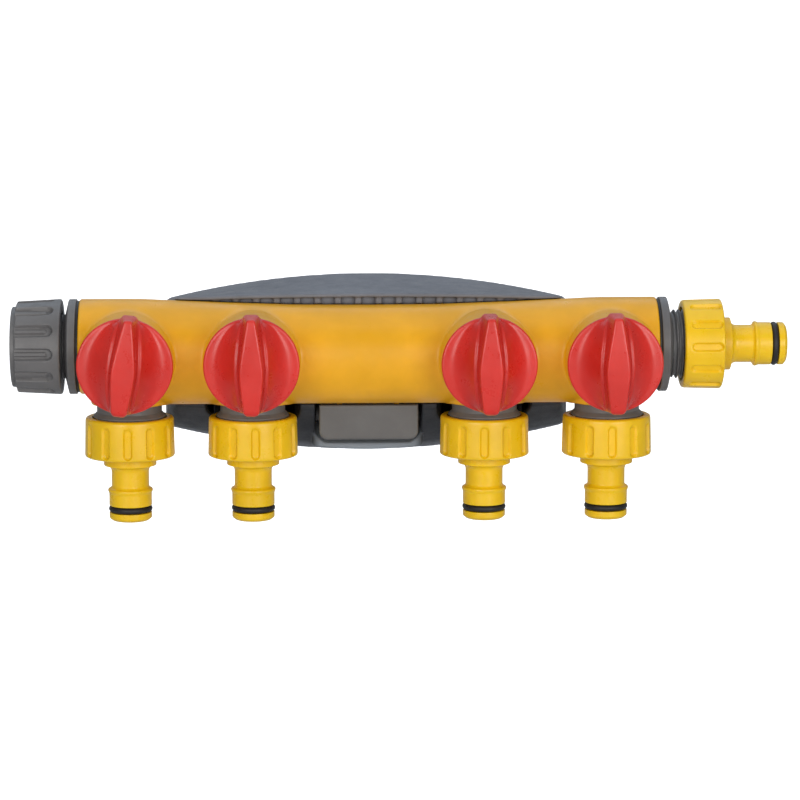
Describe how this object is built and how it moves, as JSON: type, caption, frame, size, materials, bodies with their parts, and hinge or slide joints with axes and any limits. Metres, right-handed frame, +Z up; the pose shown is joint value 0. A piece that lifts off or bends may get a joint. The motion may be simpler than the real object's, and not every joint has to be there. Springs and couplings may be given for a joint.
{
  "type": "hose splitter",
  "caption": "Wall-mounted garden hose splitter with quarter-turn valves, threaded hose connectors, a blanked end and a release latch.",
  "frame": {"origin": "middle of the bracket's wall face, level with the end fittings' axis", "axes": "+Z up, front of the splitter faces -Y, inlet end towards +X"},
  "size_m": [0.2955, 0.0796, 0.091],
  "materials": {
    "body_yellow": "satin",
    "connector_yellow": "satin",
    "knob_red": "glossy",
    "fitting_grey": "satin",
    "bracket_grey": "satin",
    "seal_rubber": "matte",
    "washer_rubber": "matte",
    "ball_plastic": "satin",
    "seat_plastic": "satin",
    "stem_plastic": "satin"
  },
  "bodies": {
    "root": {"manifold_body": "body_yellow", "left_end_fitting": "fitting_grey", "right_end_fitting": "fitting_grey", "left_end_seal": "seal_rubber", "right_end_seal": "seal_rubber", "wall_bracket": "bracket_grey", "outlet_spigot_1": "fitting_grey", "spigot_seal_1": "seal_rubber", "ball_seats_1": "seat_plastic", "valve_bonnet_1": "fitting_grey", "outlet_spigot_2": "fitting_grey", "spigot_seal_2": "seal_rubber", "ball_seats_2": "seat_plastic", "valve_bonnet_2": "fitting_grey", "outlet_spigot_3": "fitting_grey", "spigot_seal_3": "seal_rubber", "ball_seats_3": "seat_plastic", "valve_bonnet_3": "fitting_grey", "outlet_spigot_4": "fitting_grey", "spigot_seal_4": "seal_rubber", "ball_seats_4": "seat_plastic", "valve_bonnet_4": "fitting_grey"},
    "valve_1": {"knob_1": "knob_red", "valve_stem_1": "stem_plastic", "stem_orings_1": "seal_rubber", "valve_ball_1": "ball_plastic"},
    "washer_1": {"outlet_washer_1": "washer_rubber"},
    "connector_1": {"outlet_connector_1": "connector_yellow", "nose_oring_1": "seal_rubber"},
    "valve_2": {"knob_2": "knob_red", "valve_stem_2": "stem_plastic", "stem_orings_2": "seal_rubber", "valve_ball_2": "ball_plastic"},
    "washer_2": {"outlet_washer_2": "washer_rubber"},
    "connector_2": {"outlet_connector_2": "connector_yellow", "nose_oring_2": "seal_rubber"},
    "valve_3": {"knob_3": "knob_red", "valve_stem_3": "stem_plastic", "stem_orings_3": "seal_rubber", "valve_ball_3": "ball_plastic"},
    "washer_3": {"outlet_washer_3": "washer_rubber"},
    "connector_3": {"outlet_connector_3": "connector_yellow", "nose_oring_3": "seal_rubber"},
    "valve_4": {"knob_4": "knob_red", "valve_stem_4": "stem_plastic", "stem_orings_4": "seal_rubber", "valve_ball_4": "ball_plastic"},
    "washer_4": {"outlet_washer_4": "washer_rubber"},
    "connector_4": {"outlet_connector_4": "connector_yellow", "nose_oring_4": "seal_rubber"},
    "washer_inlet": {"inlet_washer": "washer_rubber"},
    "connector_inlet": {"inlet_connector": "connector_yellow", "inlet_nose_oring": "seal_rubber"},
    "washer_cap": {"end_cap_washer": "washer_rubber"},
    "cap": {"end_cap": "fitting_grey"},
    "latch": {"release_latch": "bracket_grey"}
  },
  "joints": [
    {"name": "knob_turn_1", "type": "hinge", "parent": "root", "child": "valve_1", "pos_m": [-0.0915, -0.035, -0.0033], "axis": [0, 1, 0], "range_deg": [-6.5, 83.5]},
    {"name": "connector_travel_1", "type": "slide", "parent": "root", "child": "washer_1", "axis": [0, 0, -1], "range_m": [0, 0.00998]},
    {"name": "connector_turn_1", "type": "hinge", "parent": "washer_1", "child": "connector_1", "pos_m": [-0.0915, -0.035, -0.03], "axis": [0, 0, -1], "range_deg": [0, 1980]},
    {"name": "knob_turn_2", "type": "hinge", "parent": "root", "child": "valve_2", "pos_m": [-0.0444, -0.035, -0.0033], "axis": [0, 1, 0], "range_deg": [0, 90]},
    {"name": "connector_travel_2", "type": "slide", "parent": "root", "child": "washer_2", "axis": [0, 0, -1], "range_m": [0, 0.00998]},
    {"name": "connector_turn_2", "type": "hinge", "parent": "washer_2", "child": "connector_2", "pos_m": [-0.0444, -0.035, -0.03], "axis": [0, 0, -1], "range_deg": [0, 1980]},
    {"name": "knob_turn_3", "type": "hinge", "parent": "root", "child": "valve_3", "pos_m": [0.0444, -0.035, -0.0033], "axis": [0, 1, 0], "range_deg": [0, 90]},
    {"name": "connector_travel_3", "type": "slide", "parent": "root", "child": "washer_3", "axis": [0, 0, -1], "range_m": [0, 0.00998]},
    {"name": "connector_turn_3", "type": "hinge", "parent": "washer_3", "child": "connector_3", "pos_m": [0.0444, -0.035, -0.03], "axis": [0, 0, -1], "range_deg": [0, 1980]},
    {"name": "knob_turn_4", "type": "hinge", "parent": "root", "child": "valve_4", "pos_m": [0.0915, -0.035, -0.0033], "axis": [0, 1, 0], "range_deg": [0, 90]},
    {"name": "connector_travel_4", "type": "slide", "parent": "root", "child": "washer_4", "axis": [0, 0, -1], "range_m": [0, 0.00998]},
    {"name": "connector_turn_4", "type": "hinge", "parent": "washer_4", "child": "connector_4", "pos_m": [0.0915, -0.035, -0.03], "axis": [0, 0, -1], "range_deg": [0, 1980]},
    {"name": "inlet_travel", "type": "slide", "parent": "root", "child": "washer_inlet", "axis": [1, 0, 0], "range_m": [0, 0.00998]},
    {"name": "inlet_turn", "type": "hinge", "parent": "washer_inlet", "child": "connector_inlet", "pos_m": [0.125, -0.035, 0], "axis": [1, 0, 0], "range_deg": [0, 1980]},
    {"name": "cap_travel", "type": "slide", "parent": "root", "child": "washer_cap", "axis": [-1, 0, 0], "range_m": [0, 0.0127]},
    {"name": "cap_turn", "type": "hinge", "parent": "washer_cap", "child": "cap", "pos_m": [-0.125, -0.035, 0], "axis": [-1, 0, 0], "range_deg": [0, 2520]},
    {"name": "latch_swing", "type": "hinge", "parent": "root", "child": "latch", "pos_m": [0, -0.012, -0.0295], "axis": [1, 0, 0], "range_deg": [0, 8]}
  ],
  "couplings": [
    {"joint": "connector_travel_1", "follows": "connector_turn_1", "m_per_rad": 0.00028871},
    {"joint": "connector_travel_2", "follows": "connector_turn_2", "m_per_rad": 0.00028871},
    {"joint": "connector_travel_3", "follows": "connector_turn_3", "m_per_rad": 0.00028871},
    {"joint": "connector_travel_4", "follows": "connector_turn_4", "m_per_rad": 0.00028871},
    {"joint": "inlet_travel", "follows": "inlet_turn", "m_per_rad": 0.00028871},
    {"joint": "cap_travel", "follows": "cap_turn", "m_per_rad": 0.00028871}
  ]
}
